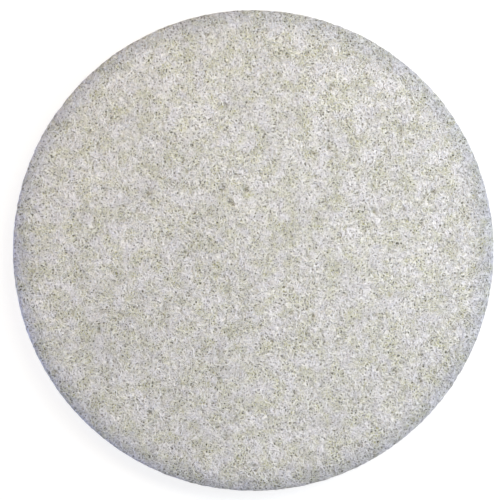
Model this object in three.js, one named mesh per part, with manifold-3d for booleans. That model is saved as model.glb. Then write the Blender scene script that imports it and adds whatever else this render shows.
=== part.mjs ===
// A floor polishing pad: one round, lofty nonwoven mat of crimped white fibre, stamped out of
// the web by a ring knife. Both faces are flat and open, pocked where the fibre bundles part,
// and the cut wall shows the laps that the web was built up from.
// Millimetres, +Z up. The origin is the centre of the face that the pad lies on.

import * as THREE from "three";
import { ImprovedNoise } from "three/addons/math/ImprovedNoise.js";
import { mergeVertices } from "three/addons/utils/BufferGeometryUtils.js";
import Module from "manifold-3d";

// The pad as it is sold, for a 17 inch single-disc machine
const PAD_DIAMETER = 432;
const PAD_THICKNESS = 25;

// The stamped edge: the knife drags the upper face down as it enters and leaves a small lip
// radius below, and the wall springs back a little hollow between them
const KNIFE_SHOULDER_REACH = 12;
const KNIFE_SHOULDER_DROP = 4.4;
const LOWER_LIP_RADIUS = 1.4;
const WALL_HOLLOW = 0.9;

// The laps of fibre laid on each other to build up the thickness, parted by shallow seams
// that open, close and wander along the wall
const LAP_COUNT = 4;
const SEAM_DEPTH = 1.3;
const SEAM_WIDTH = 1.6;
const SEAM_WANDER = 0.8;

// The open pockets where fibre bundles cross and part, crowded where the web is thin
const POCKETS_PER_DM2 = 28;
const POCKET_LENGTH_LEAST = 4;
const POCKET_LENGTH_MOST = 13;
const POCKET_SLIMNESS = 0.62; // width of a pocket's mouth over its length
const POCKET_STEEPNESS = 0.75; // depth of a pocket over its width
const POCKET_WEB = 1.2; // least web left between two pockets
const WALL_POCKET_LENGTH = 9;
const WALL_POCKET_PITCH = 28;
const CLOUD_SIZE = 42; // across a patch of denser or thinner web

// How finely the round shapes are faceted, and the seed that every chance choice follows
const WALL_FACETS = 84;
const SHOULDER_STEPS = 5;
const LIP_STEPS = 2;
const POCKET_SIDES = 4;
const WEB_SEED = 17;

const FIBRE_WHITE = 0xd9d7cf;

const padRadius = PAD_DIAMETER / 2;
const shoulderFoot = PAD_THICKNESS - KNIFE_SHOULDER_DROP;
const wallHeight = shoulderFoot - LOWER_LIP_RADIUS;
const mouthOverrun = 0.5; // how far a pocket's cutter starts outside the web

const wasm = await Module();
wasm.setup();

const noise = new ImprovedNoise();
THREE.MathUtils.seededRandom(WEB_SEED);
const random = (low, high) => THREE.MathUtils.lerp(low, high, THREE.MathUtils.seededRandom());

// A closed three.js geometry with its shared vertices merged, positions only
function weld(geometry) {
  geometry.deleteAttribute("normal");
  geometry.deleteAttribute("uv");
  return mergeVertices(geometry, 1e-4);
}

function solidFrom(geometry) {
  return new wasm.Manifold(
    new wasm.Mesh({
      numProp: 3,
      vertProperties: new Float32Array(geometry.attributes.position.array),
      triVerts: new Uint32Array(geometry.index.array),
    }),
  );
}

function geometryFrom(solid) {
  const { vertProperties, triVerts } = solid.getMesh();
  const geometry = new THREE.BufferGeometry();
  geometry.setAttribute("position", new THREE.BufferAttribute(vertProperties, 3));
  geometry.setIndex(new THREE.BufferAttribute(triVerts, 1));
  geometry.computeVertexNormals();
  return geometry;
}

// The wall's radius at a height, hollowed between the lower lip and the knife shoulder
function wallRadius(height) {
  const share = THREE.MathUtils.clamp((height - LOWER_LIP_RADIUS) / wallHeight, 0, 1);
  return padRadius - WALL_HOLLOW * Math.sin(Math.PI * share);
}

const seamHeights = Array.from(
  { length: LAP_COUNT - 1 },
  (_, seam) => (PAD_THICKNESS * (seam + 1)) / LAP_COUNT,
).filter((height) => height + SEAM_WIDTH < shoulderFoot && height - SEAM_WIDTH > LOWER_LIP_RADIUS);

// The pad's half section, from the middle of the lower face round to the middle of the upper
function halfSection() {
  const section = new THREE.Path();
  section.moveTo(0, 0);
  section.lineTo(padRadius - LOWER_LIP_RADIUS, 0);
  const points = section.getPoints();
  const lip = new THREE.EllipseCurve(
    padRadius - LOWER_LIP_RADIUS, LOWER_LIP_RADIUS,
    LOWER_LIP_RADIUS, LOWER_LIP_RADIUS,
    -Math.PI / 2, 0,
  );
  points.push(...lip.getPoints(LIP_STEPS).slice(1));
  for (const height of seamHeights) {
    for (const step of [-SEAM_WIDTH / 2, 0, SEAM_WIDTH / 2]) {
      points.push(new THREE.Vector2(wallRadius(height + step), height + step));
    }
  }
  const shoulder = new THREE.EllipseCurve(
    padRadius - KNIFE_SHOULDER_REACH, shoulderFoot,
    KNIFE_SHOULDER_REACH, KNIFE_SHOULDER_DROP,
    0, Math.PI / 2,
  );
  points.push(...shoulder.getPoints(SHOULDER_STEPS));
  points.push(new THREE.Vector2(0, PAD_THICKNESS));
  return points;
}

// How thin the web is at a place, from 0 in a dense patch to 1 in a thin one
function thinness(x, y, layer) {
  const cloud = 0.45 + noise.noise(x / CLOUD_SIZE, y / CLOUD_SIZE, layer);
  return THREE.MathUtils.clamp(cloud + random(-0.25, 0.25), 0, 1);
}

// Lets each seam wander up and down and open and close on its way round the wall
function wanderSeams(geometry) {
  const position = geometry.attributes.position;
  const corner = new THREE.Vector3();
  for (let i = 0; i < position.count; i++) {
    corner.fromBufferAttribute(position, i);
    const reach = Math.hypot(corner.x, corner.y);
    const seam = seamHeights.find((height) => Math.abs(corner.z - height) < SEAM_WIDTH);
    if (seam === undefined || reach < padRadius - KNIFE_SHOULDER_REACH) continue;
    const drift = 2 * noise.noise(corner.x / CLOUD_SIZE, corner.y / CLOUD_SIZE, seam);
    const gape = 0.3 + 1.5 * noise.noise(corner.x / CLOUD_SIZE, seam, corner.y / CLOUD_SIZE);
    const atBottom = Math.abs(corner.z - seam) < SEAM_WIDTH / 4;
    const inset = atBottom ? SEAM_DEPTH * THREE.MathUtils.clamp(gape, 0, 1) : 0;
    corner.x *= (reach - inset) / reach;
    corner.y *= (reach - inset) / reach;
    corner.z += THREE.MathUtils.clamp(drift, -1, 1) * SEAM_WANDER;
    position.setXYZ(i, corner.x, corner.y, corner.z);
  }
}

// The whole mat before its pockets are opened
function matBlank() {
  const turned = new THREE.LatheGeometry(halfSection(), WALL_FACETS);
  turned.rotateX(Math.PI / 2);
  const blank = weld(turned);
  wanderSeams(blank);
  return solidFrom(blank);
}

// A crooked slim pyramid that opens one pocket: its mouth lies just outside the web, its tip
// points inward, and it is longest along the fibres that part there
function pocketCutter(mouth, inward, along, length) {
  const width = length * POCKET_SLIMNESS;
  const depth = width * POCKET_STEEPNESS;
  const cutter = weld(new THREE.ConeGeometry(0.5, 1, POCKET_SIDES));
  const position = cutter.attributes.position;
  for (let i = 0; i < position.count; i++) {
    const stretch = random(0.55, 1);
    position.setX(i, position.getX(i) * stretch);
    position.setZ(i, position.getZ(i) * stretch);
  }
  const across = along.clone().cross(inward).multiplyScalar(width);
  const middle = mouth.clone().addScaledVector(inward, (depth - mouthOverrun) / 2);
  const placed = new THREE.Matrix4().makeBasis(
    along.clone().multiplyScalar(length),
    inward.clone().multiplyScalar(depth + mouthOverrun),
    across,
  );
  cutter.applyMatrix4(placed.setPosition(middle));
  return solidFrom(cutter);
}

// Pockets thrown at random on a face, none touching another. The middle of the face, where the
// pad is centred on its driver, is taken first and stays whole.
function facePockets(faceHeight, inward) {
  const reach = padRadius - KNIFE_SHOULDER_REACH;
  const wanted = (POCKETS_PER_DM2 * Math.PI * reach ** 2) / 1e4;
  const taken = [{ x: 0, y: 0, half: POCKET_LENGTH_MOST / 2 }];
  const cutters = [];
  const patience = 60 * wanted; // the throws after which a crowded face is left as it is
  for (let thrown = 0; thrown < patience && cutters.length < wanted; thrown++) {
    const turn = random(0, 2 * Math.PI);
    const out = reach * Math.sqrt(random(0, 1));
    const x = out * Math.cos(turn);
    const y = out * Math.sin(turn);
    const share = thinness(x, y, faceHeight);
    const length = THREE.MathUtils.lerp(POCKET_LENGTH_LEAST, POCKET_LENGTH_MOST, share ** 2);
    const half = length / 2;
    const crowded = taken.some(
      (other) => Math.hypot(x - other.x, y - other.y) < half + other.half + POCKET_WEB,
    );
    if (crowded || out + half > reach || random(0, 1) > share + 0.1) continue;
    taken.push({ x, y, half });
    const lie = random(0, Math.PI);
    const along = new THREE.Vector3(Math.cos(lie), Math.sin(lie), 0);
    cutters.push(pocketCutter(new THREE.Vector3(x, y, faceHeight), inward, along, length));
  }
  return cutters;
}

// Slots in the laps of the stamped wall, lying along it as the laid fibres do. The top lap has
// none, because the knife shoulder rounds it away.
function wallPockets() {
  const count = Math.floor((Math.PI * PAD_DIAMETER) / WALL_POCKET_PITCH);
  return Array.from({ length: count }, (_, i) => {
    const turn = ((i + random(-0.3, 0.3)) * 2 * Math.PI) / count;
    const lap = Math.floor(random(0, LAP_COUNT - 1));
    const height = ((lap + 0.5) * PAD_THICKNESS) / LAP_COUNT;
    const outward = new THREE.Vector3(Math.cos(turn), Math.sin(turn), 0);
    const along = new THREE.Vector3(-Math.sin(turn), Math.cos(turn), 0);
    const mouth = outward.clone().multiplyScalar(wallRadius(height)).setZ(height);
    return pocketCutter(mouth, outward.negate(), along, WALL_POCKET_LENGTH * random(0.6, 1));
  });
}

function padGeometry() {
  const up = new THREE.Vector3(0, 0, 1);
  const down = up.clone().negate();
  const cutters = [...facePockets(PAD_THICKNESS, down), ...facePockets(0, up), ...wallPockets()];
  return geometryFrom(wasm.Manifold.difference([matBlank(), ...cutters]));
}

const webMaterial = new THREE.MeshStandardMaterial({
  name: "nonwoven_web",
  color: FIBRE_WHITE,
  roughness: 0.9,
  metalness: 0,
});

const floorPolishingPad = new THREE.Group();
floorPolishingPad.name = "floor_polishing_pad";
const pad = new THREE.Mesh(padGeometry(), webMaterial);
pad.name = "pad";
floorPolishingPad.add(pad);

export default floorPolishingPad;
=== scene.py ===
import math
import random
from dataclasses import dataclass

import bmesh
import bpy
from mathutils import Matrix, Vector, noise
from mathutils.bvhtree import BVHTree


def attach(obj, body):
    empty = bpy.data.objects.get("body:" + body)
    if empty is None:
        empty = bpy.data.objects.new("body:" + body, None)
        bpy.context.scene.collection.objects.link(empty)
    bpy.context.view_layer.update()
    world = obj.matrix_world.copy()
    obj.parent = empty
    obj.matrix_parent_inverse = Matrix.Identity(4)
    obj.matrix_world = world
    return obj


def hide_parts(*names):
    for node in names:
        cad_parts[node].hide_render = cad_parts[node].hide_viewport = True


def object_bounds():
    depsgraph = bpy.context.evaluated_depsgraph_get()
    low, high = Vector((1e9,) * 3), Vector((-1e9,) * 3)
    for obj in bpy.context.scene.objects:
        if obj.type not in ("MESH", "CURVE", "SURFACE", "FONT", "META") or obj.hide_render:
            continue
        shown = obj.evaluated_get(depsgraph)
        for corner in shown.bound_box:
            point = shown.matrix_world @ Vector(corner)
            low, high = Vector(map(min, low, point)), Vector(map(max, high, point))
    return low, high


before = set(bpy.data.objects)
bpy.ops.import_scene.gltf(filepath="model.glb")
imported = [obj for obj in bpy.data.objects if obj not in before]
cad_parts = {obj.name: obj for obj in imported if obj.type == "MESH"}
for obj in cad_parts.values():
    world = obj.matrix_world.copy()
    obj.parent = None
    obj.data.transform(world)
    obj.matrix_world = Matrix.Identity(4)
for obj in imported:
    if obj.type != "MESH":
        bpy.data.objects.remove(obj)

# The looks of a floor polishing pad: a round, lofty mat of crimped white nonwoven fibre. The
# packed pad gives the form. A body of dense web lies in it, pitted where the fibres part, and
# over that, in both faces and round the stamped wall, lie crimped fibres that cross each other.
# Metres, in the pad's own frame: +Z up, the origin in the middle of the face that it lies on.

MM = 0.001
cad_low, cad_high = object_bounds()
PAD_RADIUS = cad_high.x
PAD_THICKNESS = cad_high.z

# The stamped edge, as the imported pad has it
SHOULDER_REACH = 12 * MM
SHOULDER_DROP = 4.4 * MM
WALL_TOP = PAD_THICKNESS - SHOULDER_DROP
LIP_RADIUS = 1.4 * MM
WALL_HOLLOW = 0.9 * MM

# The body of dense web
FACE_RINGS = 110  # rings of triangles from the middle of a face to its rim
WALL_ROWS = 22
BODY_SINK = 0.9 * MM  # how far the dense web lies below the outermost fibres
DEEPEST_PIT = 6 * MM
WEB_SEED = 23

# Its relief: soft tufts, finer knots, and pits where the web is thin, all pressed flatter at
# the rim, with every corner a little out of place
TUFT_ACROSS, TUFT_RISE = 7 * MM, 0.35 * MM
KNOT_ACROSS, KNOT_RISE = 3.4 * MM, 0.35 * MM
PIT_ACROSS, PIT_FALL = 5 * MM, 2.6 * MM
PIT_ONSET = 0.22  # the level of the noise above which a pit opens
PRESSED_REACH = 4 * MM  # how far in from the rim the web is pressed
PRESSED_SHARE = 0.6  # how much of the relief is pressed out at the rim itself
LOOSE_SINK = 0.25 * MM
LOOSE_SLIP = 0.35 * MM

# The fibres are drawn about eight times as coarse as the real ones, so that they show
FIBRE_RADIUS = 0.22 * MM
FINEST, COARSEST = 0.7, 1.1  # the range of one fibre's thickness beside that radius
DIVE_PER_STRIDE = 0.75  # radians of its rise and fall through the web


@dataclass
class Habit:
    """How one kind of fibre lies in the web."""

    strides: int
    stride: float
    bend_radius: tuple  # tightest and widest
    sway: float  # how far the crimp swings the fibre to and fro, radians
    sway_strides: float  # strides in one swing
    depth: tuple  # shallowest and deepest below the skin
    lie: float = math.pi  # how far the fibre may turn from lying along the skin's first direction


CURL = Habit(10, 1.7 * MM, (3.2 * MM, 8 * MM), 0.35, 5, (0.3 * MM, 1.9 * MM))
STRAY = Habit(10, 2.3 * MM, (14 * MM, 60 * MM), 0.55, 4.3, (0.3 * MM, 1.3 * MM))
LAP_FIBRE = Habit(9, 1.9 * MM, (9 * MM, 40 * MM), 0.5, 4.3, (0.3 * MM, 1.5 * MM), lie=0.45)


def shoulder_fall(reach):
    """How far the knife dragged the upper face down at this distance from the middle."""
    over = (reach - (PAD_RADIUS - SHOULDER_REACH)) / SHOULDER_REACH
    over = min(max(over, 0), 1)
    return SHOULDER_DROP * (1 - math.sqrt(1 - over**2))


def wall_radius(height):
    """The stamped wall's radius, hollowed between the lip and the shoulder."""
    share = min(max((height - LIP_RADIUS) / (WALL_TOP - LIP_RADIUS), 0), 1)
    return PAD_RADIUS - WALL_HOLLOW * math.sin(math.pi * share)


def under_upper_face(across, along, depth):
    """A point this deep in the upper face, or None where the knife has cut the web away."""
    reach = math.hypot(across, along)
    if reach > PAD_RADIUS - FIBRE_RADIUS:
        return None
    return Vector((across, along, PAD_THICKNESS - shoulder_fall(reach) - depth))


def over_lower_face(across, along, depth):
    """A point this deep in the lower face, or None where the knife has cut the web away."""
    if math.hypot(across, along) > PAD_RADIUS - LIP_RADIUS:
        return None
    return Vector((across, along, depth))


def inside_wall(along, height, depth):
    """A point this deep in the stamped wall, or None above or below it."""
    if not LIP_RADIUS < height < WALL_TOP + 1 * MM:
        return None
    turn = along / PAD_RADIUS
    reach = wall_radius(height) - depth
    return Vector((reach * math.cos(turn), reach * math.sin(turn), height))


def even_disc():
    """A disc of unit radius in even triangles: a hexagon's fan, cut finely and made round."""
    disc = bmesh.new()
    bmesh.ops.create_circle(disc, cap_ends=True, cap_tris=True, segments=6, radius=1)
    bmesh.ops.subdivide_edges(disc, edges=disc.edges[:], cuts=FACE_RINGS - 1, use_grid_fill=True)
    sixth = math.pi / 3
    for corner in disc.verts:
        if corner.co.length < 1e-6:
            continue
        turn = math.atan2(corner.co.x, corner.co.y) % math.tau
        middle = (math.floor(turn / sixth) + 0.5) * sixth
        inward = corner.co.length * math.cos(turn - middle)
        sideways = corner.co.length * math.sin(turn - middle)
        ring = inward / math.cos(sixth / 2)
        turn = middle + sideways / (inward * math.tan(sixth / 2)) * sixth / 2
        corner.co = Vector((ring * math.sin(turn), ring * math.cos(turn), 0))
    return disc


def puck():
    """A closed puck one unit high and one in radius, with its wall in even rows."""
    pad = even_disc()
    upper = pad.verts[:] + pad.edges[:] + pad.faces[:]
    upper_corners = pad.verts[:]
    bmesh.ops.duplicate(pad, geom=upper)
    bmesh.ops.translate(pad, verts=upper_corners, vec=(0, 0, 1))
    rims = [edge for edge in pad.edges if edge.is_boundary]
    wall = bmesh.ops.bridge_loops(pad, edges=rims)["edges"]
    bmesh.ops.subdivide_edges(pad, edges=wall, cuts=WALL_ROWS - 1, use_grid_fill=True)
    bmesh.ops.recalc_face_normals(pad, faces=pad.faces[:])
    return pad


def stretch_to_skin(pad):
    """Brings the puck to the pad's skin: flat faces, shoulder, hollow wall and lip."""
    for corner in pad.verts:
        outward = Vector((corner.co.x, corner.co.y, 0))
        if corner.co.z > 1 - 1e-5:
            reach = outward.length * PAD_RADIUS
            height = PAD_THICKNESS - shoulder_fall(reach)
        elif corner.co.z < 1e-5:
            reach = outward.length * (PAD_RADIUS - LIP_RADIUS)
            height = 0
        else:
            row = corner.co.z * WALL_ROWS
            height = LIP_RADIUS + (WALL_TOP - LIP_RADIUS) * (row - 1) / (WALL_ROWS - 1)
            reach = wall_radius(height)
        if outward.length > 1e-6:
            outward.normalize()
        corner.co = outward * reach
        corner.co.z = height


def relief(place):
    """How far the dense web sinks here below the skin: tufts, and pits where it is thin."""
    tuft = noise.noise(place / TUFT_ACROSS)
    knot = noise.noise(place / KNOT_ACROSS + Vector((31, 7, 3)))
    pit = noise.noise(place / PIT_ACROSS + Vector((5, 50, 9)))
    rim_share = min(max((Vector(place.xy).length - PAD_RADIUS) / PRESSED_REACH + 1, 0), 1)
    sink = BODY_SINK + TUFT_RISE * tuft + KNOT_RISE * knot + PIT_FALL * max(0, pit - PIT_ONSET)
    return sink * (1 - PRESSED_SHARE * rim_share)


def dense_web():
    """The body of the pad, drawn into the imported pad's own pockets and seams."""
    pad = puck()
    stretch_to_skin(pad)
    pad.normal_update()
    depth_layer = pad.verts.layers.float.new("depth")
    cad_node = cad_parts["pad"]
    cad = BVHTree.FromObject(cad_node, bpy.context.evaluated_depsgraph_get())
    chance = random.Random(WEB_SEED)
    clear = 2 * MM  # outside the pad, so that every ray meets its surface
    settled = []
    for corner in pad.verts:
        eye = corner.co + corner.normal * clear
        found = cad.ray_cast(eye, -corner.normal, clear + DEEPEST_PIT)[0]
        pocket = (corner.co - found).length if found else 0
        sink = pocket + relief(corner.co) + chance.uniform(0, LOOSE_SINK)
        slip = Vector([chance.uniform(-LOOSE_SLIP, LOOSE_SLIP) for _ in range(3)])
        slip -= corner.normal * slip.dot(corner.normal)
        settled.append(corner.co - corner.normal * sink + slip)
        corner[depth_layer] = min(sink / DEEPEST_PIT, 1)
    for corner, place in zip(pad.verts, settled):
        corner.co = place
    return finished_piece("pad_web", pad, resin_bonded_web())


def fibre_line(chance, habit, start, skin):
    """The points of one crimped fibre laid in a skin, cut where the knife met it."""
    heading = chance.uniform(-habit.lie, habit.lie)
    bend = habit.stride / chance.uniform(*habit.bend_radius) * chance.choice((-1, 1))
    phase, dive = chance.uniform(0, math.tau), chance.uniform(0, math.tau)
    shallow, deep = habit.depth
    deep = shallow + (deep - shallow) * chance.uniform(0.3, 1)
    across, along = start
    line = []
    for step in range(habit.strides + 1):
        depth = shallow + (deep - shallow) * (0.5 + 0.5 * math.sin(dive + step * DIVE_PER_STRIDE))
        point = skin(across, along, depth)
        if point is None:
            break
        line.append(point)
        swing = habit.sway * math.sin(phase + math.tau * step / habit.sway_strides)
        across += habit.stride * math.cos(heading + swing)
        along += habit.stride * math.sin(heading + swing)
        heading += bend
    return line


def face_lines(chance, habit, skin, count):
    """Fibres thrown evenly over a face."""
    lines = []
    while len(lines) < count:
        reach, turn = PAD_RADIUS * math.sqrt(chance.random()), chance.uniform(0, math.tau)
        line = fibre_line(chance, habit, (reach * math.cos(turn), reach * math.sin(turn)), skin)
        if len(line) > 2:
            lines.append(line)
    return lines


def wall_lines(chance, habit, count):
    """Fibres thrown evenly round the stamped wall, lying along its laps."""
    lines = []
    while len(lines) < count:
        along = chance.uniform(0, math.tau) * PAD_RADIUS
        height = chance.uniform(LIP_RADIUS, WALL_TOP)
        line = fibre_line(chance, habit, (along, height), inside_wall)
        if len(line) > 2:
            lines.append(line)
    return lines


def fibre_section():
    """The three-sided section that every fibre is drawn with."""
    outline = bpy.data.curves.new("fibre_section", "CURVE")
    outline.dimensions = "2D"
    ring = outline.splines.new("POLY")
    ring.points.add(2)
    for point, turn in zip(ring.points, (0, math.tau / 3, math.tau * 2 / 3)):
        point.co = (FIBRE_RADIUS * math.cos(turn), FIBRE_RADIUS * math.sin(turn), 0, 1)
    ring.use_cyclic_u = True
    section = bpy.data.objects.new("fibre_section", outline)
    bpy.context.scene.collection.objects.link(section)
    return section


def fibres(name, chance, lines, material):
    """One piece of closed tubes, a fibre along each line, some finer than others."""
    section = fibre_section()
    strands = bpy.data.curves.new(name, "CURVE")
    strands.dimensions = "3D"
    strands.bevel_mode = "OBJECT"
    strands.bevel_object = section
    strands.use_fill_caps = True
    for line in lines:
        spline = strands.splines.new("POLY")
        spline.points.add(len(line) - 1)
        spline.points.foreach_set("co", [number for point in line for number in (*point, 1)])
        spline.points.foreach_set("radius", [chance.uniform(FINEST, COARSEST)] * len(line))
    holder = bpy.data.objects.new("strands", strands)
    bpy.context.scene.collection.objects.link(holder)
    drawn = bmesh.new()
    drawn.from_mesh(holder.evaluated_get(bpy.context.evaluated_depsgraph_get()).to_mesh())
    bpy.data.objects.remove(holder)
    bpy.data.objects.remove(section)
    bmesh.ops.remove_doubles(drawn, verts=drawn.verts[:], dist=1e-6)
    bmesh.ops.recalc_face_normals(drawn, faces=drawn.faces[:])
    return finished_piece(name, drawn, material)


def linear(hex_colour):
    """An sRGB hex colour as the linear numbers that a socket takes."""
    channels = [int(hex_colour[i : i + 2], 16) / 255 for i in (1, 3, 5)]
    light = [c / 12.92 if c <= 0.04045 else ((c + 0.055) / 1.055) ** 2.4 for c in channels]
    return (*light, 1)


def per_mm(size):
    """The texture scale at which one cell of a pattern measures this many millimetres."""
    return 1 / (size * MM)


def add_node(tree, kind, inputs=None, **settings):
    """One shader node with its settings, and each input given a value or another node's output.
    Sockets that share a name go by number: a colour mix takes its share at 0 and its colours at
    6 and 7, and gives its result at 2."""
    made = tree.nodes.new(kind)
    for name, value in settings.items():
        setattr(made, name, value)
    for socket, value in (inputs or {}).items():
        if isinstance(value, bpy.types.NodeSocket):
            tree.links.new(value, made.inputs[socket])
        else:
            made.inputs[socket].default_value = value
    return made


def blank_material(name, shown_colour):
    """A material with its shader's own nodes cleared away."""
    material = bpy.data.materials.new(name)
    material.use_nodes = True
    material.node_tree.nodes.clear()
    material.diffuse_color = linear(shown_colour)
    return material


def cloudiness(tree, place):
    """0 in the thin patches, which look olive, and 1 in the thick ones, which look lavender white."""
    cloud = add_node(
        tree,
        "ShaderNodeTexNoise",
        {"Vector": place, "Scale": per_mm(13), "Detail": 3.0, "Roughness": 0.55},
    )
    return add_node(
        tree,
        "ShaderNodeMapRange",
        {"Value": cloud.outputs[0], "From Min": 0.33, "From Max": 0.64},
        interpolation_type="SMOOTHSTEP",
    ).outputs["Result"]


def unevenly_laid(tree, place, colour):
    """The same colour, a little darker where the web was laid thin."""
    laying = add_node(tree, "ShaderNodeTexNoise", {"Vector": place, "Scale": per_mm(46), "Detail": 2.0})
    shade = add_node(
        tree,
        "ShaderNodeMapRange",
        {"Value": laying.outputs[0], "From Min": 0.3, "From Max": 0.7, "To Min": 0.91, "To Max": 1.0},
    ).outputs["Result"]
    return add_node(
        tree,
        "ShaderNodeMix",
        {0: 1.0, 6: colour, 7: shade},
        data_type="RGBA",
        blend_type="MULTIPLY",
    ).outputs[2]


def painted_rim_shade(tree, place, colour):
    """The same colour with painted shade: greyer and cooler on the shoulder, towards the rim."""
    flat = add_node(tree, "ShaderNodeVectorMath", {0: place, 1: (1, 1, 0)}, operation="MULTIPLY")
    reach = add_node(tree, "ShaderNodeVectorMath", {0: flat.outputs["Vector"]}, operation="LENGTH")
    near_rim = add_node(
        tree,
        "ShaderNodeMapRange",
        {
            "Value": reach.outputs["Value"],
            "From Min": PAD_RADIUS - 24 * MM,
            "From Max": PAD_RADIUS - 1 * MM,
        },
        interpolation_type="SMOOTHSTEP",
    )
    height = add_node(tree, "ShaderNodeSeparateXYZ", {"Vector": place}).outputs["Z"]
    above_wall = add_node(
        tree,
        "ShaderNodeMapRange",
        {"Value": height, "From Min": PAD_THICKNESS / 2, "From Max": WALL_TOP},
        interpolation_type="SMOOTHSTEP",
    )
    rim_share = add_node(
        tree,
        "ShaderNodeMath",
        {0: near_rim.outputs["Result"], 1: above_wall.outputs["Result"]},
        operation="MULTIPLY",
    )
    # Painted shade: the colour is multiplied by a cool grey on the shoulder near the rim.
    return add_node(
        tree,
        "ShaderNodeMix",
        {0: rim_share.outputs["Value"], 6: colour, 7: linear("#e2e4ea")},
        data_type="RGBA",
        blend_type="MULTIPLY",
    ).outputs[2]


def resin_bonded_web():
    """The dense web: matt crimped polyester bonded with a little resin. The eye sees pale threads
    that cross over small pores, crowded in some patches and veiled with lavender white in others.
    The pores and the deep pits are painted dark olive as shade. Threads and pores are drawn coarser
    than real ones, so that they show."""
    material = blank_material("resin_bonded_web", "#c9c6b8")
    tree = material.node_tree
    place = add_node(tree, "ShaderNodeTexCoord").outputs["Object"]
    clouds = cloudiness(tree, place)
    deep = add_node(tree, "ShaderNodeAttribute", attribute_name="depth").outputs["Fac"]
    curl = add_node(tree, "ShaderNodeTexNoise", {"Vector": place, "Scale": per_mm(5), "Detail": 2.0})
    bent = add_node(
        tree,
        "ShaderNodeVectorMath",
        {0: curl.outputs["Color"], 1: (4.5 * MM,) * 3, 2: place},
        operation="MULTIPLY_ADD",
    ).outputs["Vector"]
    coarse_cells = add_node(
        tree, "ShaderNodeTexVoronoi", {"Vector": bent, "Scale": per_mm(2.8)}, feature="DISTANCE_TO_EDGE"
    )
    coarse_threads = add_node(
        tree,
        "ShaderNodeMapRange",
        {
            "Value": coarse_cells.outputs["Distance"],
            "From Min": 0.04,
            "From Max": 0.13,
            "To Min": 1.0,
            "To Max": 0.0,
        },
        interpolation_type="SMOOTHSTEP",
    )
    fine_cells = add_node(
        tree, "ShaderNodeTexVoronoi", {"Vector": bent, "Scale": per_mm(1.6)}, feature="DISTANCE_TO_EDGE"
    )
    fine_threads = add_node(
        tree,
        "ShaderNodeMapRange",
        {
            "Value": fine_cells.outputs["Distance"],
            "From Min": 0.04,
            "From Max": 0.17,
            "To Min": 0.8,
            "To Max": 0.0,
        },
        interpolation_type="SMOOTHSTEP",
    )
    threads = add_node(
        tree,
        "ShaderNodeMath",
        {0: coarse_threads.outputs["Result"], 1: fine_threads.outputs["Result"]},
        operation="MAXIMUM",
    ).outputs["Value"]
    pore_cells = add_node(tree, "ShaderNodeTexVoronoi", {"Vector": bent, "Scale": per_mm(2.3)})
    open_cells = add_node(
        tree,
        "ShaderNodeMapRange",
        {
            "Value": pore_cells.outputs["Distance"],
            "From Min": 0.38,
            "From Max": 0.49,
            "To Min": 1.0,
            "To Max": 0.0,
        },
        interpolation_type="SMOOTHSTEP",
    )
    openness = add_node(tree, "ShaderNodeMapRange", {"Value": clouds, "To Min": 1.0, "To Max": 0.72})
    pores = add_node(
        tree,
        "ShaderNodeMath",
        {0: open_cells.outputs["Result"], 1: openness.outputs["Result"]},
        operation="MULTIPLY",
    ).outputs["Value"]
    ground = add_node(
        tree,
        "ShaderNodeMix",
        {0: clouds, 6: linear("#a8a77e"), 7: linear("#c7c4ca")},
        data_type="RGBA",
    ).outputs[2]
    # Painted shade: the deeper the web lies in its pits and pockets, the darker and more olive it is
    # coloured.
    sunk = add_node(tree, "ShaderNodeMapRange", {"Value": deep, "From Min": 0.12, "From Max": 0.7})
    shaded = add_node(
        tree,
        "ShaderNodeMix",
        {0: sunk.outputs["Result"], 6: ground, 7: linear("#8a875c")},
        data_type="RGBA",
    ).outputs[2]
    # Painted shade: the pores are coloured a near-black olive for the shade inside the web's holes.
    pore_shaded = add_node(
        tree, "ShaderNodeMix", {0: pores, 6: shaded, 7: linear("#353210")}, data_type="RGBA"
    ).outputs[2]
    veil = add_node(tree, "ShaderNodeMath", {0: threads, 1: 0.7}, operation="MULTIPLY")
    colour = add_node(
        tree,
        "ShaderNodeMix",
        {0: veil.outputs["Value"], 6: pore_shaded, 7: linear("#edecec")},
        data_type="RGBA",
    ).outputs[2]
    # Darker at random where the web was laid thin, and painted shade, greyer and cooler, on the
    # shoulder.
    colour = painted_rim_shade(tree, place, unevenly_laid(tree, place, colour))
    rise = add_node(tree, "ShaderNodeMath", {0: threads, 1: pores}, operation="SUBTRACT")
    bump = add_node(
        tree,
        "ShaderNodeBump",
        {"Height": rise.outputs["Value"], "Distance": 0.6 * MM, "Strength": 0.7},
    )
    rough = add_node(tree, "ShaderNodeMapRange", {"Value": threads, "To Min": 0.95, "To Max": 0.7})
    shader = add_node(
        tree,
        "ShaderNodeBsdfPrincipled",
        {
            "Base Color": colour,
            "Roughness": rough.outputs["Result"],
            "Normal": bump.outputs["Normal"],
            "IOR": 1.5,
        },
    )
    add_node(tree, "ShaderNodeOutputMaterial", {"Surface": shader.outputs["BSDF"]})
    return material


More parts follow.
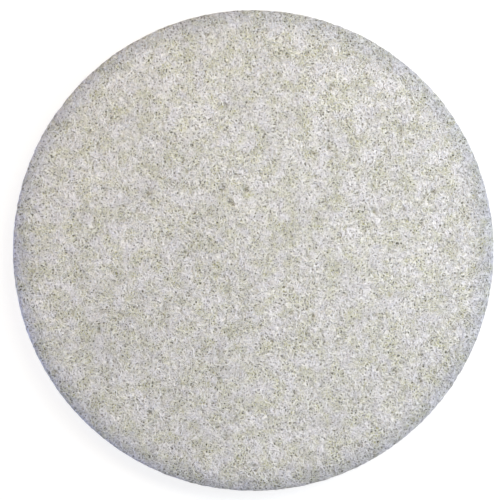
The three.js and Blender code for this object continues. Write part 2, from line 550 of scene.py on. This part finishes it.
def crimped_polyester():
    """The loose fibres: translucent white polyester with a soft gloss. The eye sees pale worms
    of thread, each a little lighter or greyer than the next."""
    material = blank_material("crimped_polyester", "#e0dfdb")
    tree = material.node_tree
    place = add_node(tree, "ShaderNodeTexCoord").outputs["Object"]
    clouds = cloudiness(tree, place)
    own_tone = add_node(tree, "ShaderNodeNewGeometry").outputs["Random Per Island"]
    patch = add_node(
        tree, "ShaderNodeMix", {0: clouds, 6: linear("#d3d3bd"), 7: linear("#e7e5ec")}, data_type="RGBA"
    ).outputs[2]
    colour = add_node(
        tree, "ShaderNodeMix", {0: own_tone, 6: patch, 7: linear("#fdfcf9")}, data_type="RGBA"
    ).outputs[2]
    # Darker at random where the web was laid thin, and painted shade, greyer and cooler, on the
    # shoulder.
    colour = painted_rim_shade(tree, place, unevenly_laid(tree, place, colour))
    rough = add_node(tree, "ShaderNodeMapRange", {"Value": own_tone, "To Min": 0.65, "To Max": 0.45})
    grain = add_node(tree, "ShaderNodeTexNoise", {"Vector": place, "Scale": per_mm(0.5), "Detail": 1.0})
    bump = add_node(
        tree,
        "ShaderNodeBump",
        {"Height": grain.outputs[0], "Distance": 0.05 * MM, "Strength": 0.4},
    )
    shader = add_node(
        tree,
        "ShaderNodeBsdfPrincipled",
        {
            "Base Color": colour,
            "Roughness": rough.outputs["Result"],
            "Normal": bump.outputs["Normal"],
            "IOR": 1.57,
        },
    )
    add_node(tree, "ShaderNodeOutputMaterial", {"Surface": shader.outputs["BSDF"]})
    return material


def finished_piece(name, shape, material):
    """A bmesh made into a piece of the pad, in place, smooth, and riding with the pad."""
    for face in shape.faces:
        face.smooth = True
    mesh = bpy.data.meshes.new(name)
    shape.to_mesh(mesh)
    shape.free()
    mesh.materials.append(material)
    piece = bpy.data.objects.new(name, mesh)
    bpy.context.scene.collection.objects.link(piece)
    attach(piece, "root")
    return piece


def pale_floor():
    """A white floor that keeps the pad's soft shadow. It is clear from below and lets the lamp
    under it through, so that the pad's underside can be seen too."""
    material = blank_material("white_floor", "#ffffff")
    tree = material.node_tree
    ray = add_node(tree, "ShaderNodeLightPath").outputs
    seen = ray["Is Camera Ray"]
    for other in ("Is Glossy Ray", "Is Transmission Ray"):
        either = add_node(tree, "ShaderNodeMath", {0: seen, 1: ray[other]}, operation="MAXIMUM")
        seen = either.outputs["Value"]
    place = add_node(tree, "ShaderNodeTexCoord").outputs["Object"]
    away = add_node(tree, "ShaderNodeVectorMath", {0: place}, operation="LENGTH")
    whiteness = add_node(
        tree,
        "ShaderNodeMapRange",
        {
            "Value": away.outputs["Value"],
            "From Min": 0.3,
            "From Max": 1.5,
            "To Min": 0.66,
            "To Max": 1.0,
        },
        interpolation_type="SMOOTHSTEP",
    )
    share = add_node(
        tree, "ShaderNodeMath", {0: seen, 1: whiteness.outputs["Result"]}, operation="MULTIPLY"
    )
    paint = add_node(tree, "ShaderNodeBsdfDiffuse", {"Color": linear("#e6e6e6")})
    glow = add_node(tree, "ShaderNodeEmission", {"Color": (1, 1, 1, 1), "Strength": 1.17})
    shown = add_node(
        tree,
        "ShaderNodeMixShader",
        {0: share.outputs["Value"], 1: paint.outputs["BSDF"], 2: glow.outputs["Emission"]},
    )
    back = add_node(tree, "ShaderNodeNewGeometry").outputs["Backfacing"]
    unseen = add_node(tree, "ShaderNodeMath", {0: back, 1: ray["Is Shadow Ray"]}, operation="MAXIMUM")
    clear = add_node(tree, "ShaderNodeBsdfTransparent")
    both = add_node(
        tree,
        "ShaderNodeMixShader",
        {0: unseen.outputs["Value"], 1: shown.outputs["Shader"], 2: clear.outputs["BSDF"]},
    )
    add_node(tree, "ShaderNodeOutputMaterial", {"Surface": both.outputs["Shader"]})
    sheet = bmesh.new()
    bmesh.ops.create_grid(sheet, x_segments=1, y_segments=1, size=6)
    mesh = bpy.data.meshes.new("floor")
    sheet.to_mesh(mesh)
    sheet.free()
    mesh.materials.append(material)
    floor = bpy.data.objects.new("floor", mesh)
    bpy.context.scene.collection.objects.link(floor)


def soft_room():
    """Even studio air: pale to the pad, white to the camera."""
    world = bpy.data.worlds.new("soft_room")
    world.use_nodes = True
    tree = world.node_tree
    tree.nodes.clear()
    ray = add_node(tree, "ShaderNodeLightPath")
    strength = add_node(
        tree, "ShaderNodeMapRange", {"Value": ray.outputs["Is Camera Ray"], "To Min": 0.4, "To Max": 1.0}
    )
    sky = add_node(
        tree, "ShaderNodeBackground", {"Color": (1, 1, 1, 1), "Strength": strength.outputs["Result"]}
    )
    add_node(tree, "ShaderNodeOutputWorld", {"Surface": sky.outputs["Background"]})
    bpy.context.scene.world = world


def softbox(name, place, width, watts, colour):
    """A square studio lamp aimed at the middle of the pad."""
    lamp = bpy.data.lights.new(name, "AREA")
    lamp.size = width
    lamp.energy = watts
    lamp.color = linear(colour)[:3]
    holder = bpy.data.objects.new(name, lamp)
    holder.location = place
    holder.rotation_euler = (-Vector(place)).to_track_quat("-Z", "Y").to_euler()
    bpy.context.scene.collection.objects.link(holder)


def camera_overhead():
    """The photograph's camera: straight above, with the disc just inside the frame."""
    lens = bpy.data.cameras.new("overhead")
    lens.sensor_width = 36
    distance = 1.5
    pixel = PAD_RADIUS / 240.9  # the disc's radius is 240.9 of the half frame's 250 pixels
    lens.lens = lens.sensor_width / 2 * distance / (250 * pixel)
    holder = bpy.data.objects.new("overhead", lens)
    holder.location = (-3.3 * pixel, 0.5 * pixel, WALL_TOP + distance)
    bpy.context.scene.collection.objects.link(holder)
    bpy.context.scene.camera = holder


web = dense_web()
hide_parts("pad")
chance = random.Random(WEB_SEED)
fibre_look = crimped_polyester()
fibres("upper_strays", chance, face_lines(chance, STRAY, under_upper_face, 3050), fibre_look)
fibres("upper_curls", chance, face_lines(chance, CURL, under_upper_face, 3050), fibre_look)
fibres("lower_strays", chance, face_lines(chance, STRAY, over_lower_face, 2400), fibre_look)
fibres("lower_curls", chance, face_lines(chance, CURL, over_lower_face, 2000), fibre_look)
fibres("wall_fibres", chance, wall_lines(chance, LAP_FIBRE, 1900), fibre_look)

pale_floor()
soft_room()

# Each lamp's place and width in metres, and its power in watts
softbox("overhead_key", (0.5, 0.5, 1.12), 0.7, 8.7, "#fdfff1")
softbox("right_key", (0.97, 0.15, 0.75), 0.6, 11.4, "#e3ebfd")
softbox("warm_fill", (-0.6, 0.75, 0.9), 0.5, 4.0, "#ffce84")
softbox("cool_fill", (-1.1, -0.25, 0.17), 0.5, 6.3, "#acc0ff")
softbox("front_fill", (0.3, -1.1, 0.12), 0.5, 1.8, "#fff2e0")
softbox("under_fill", (0, 0, -1.2), 0.8, 13, "#ffffff")
camera_overhead()
bpy.context.scene.view_settings.view_transform = "Standard"
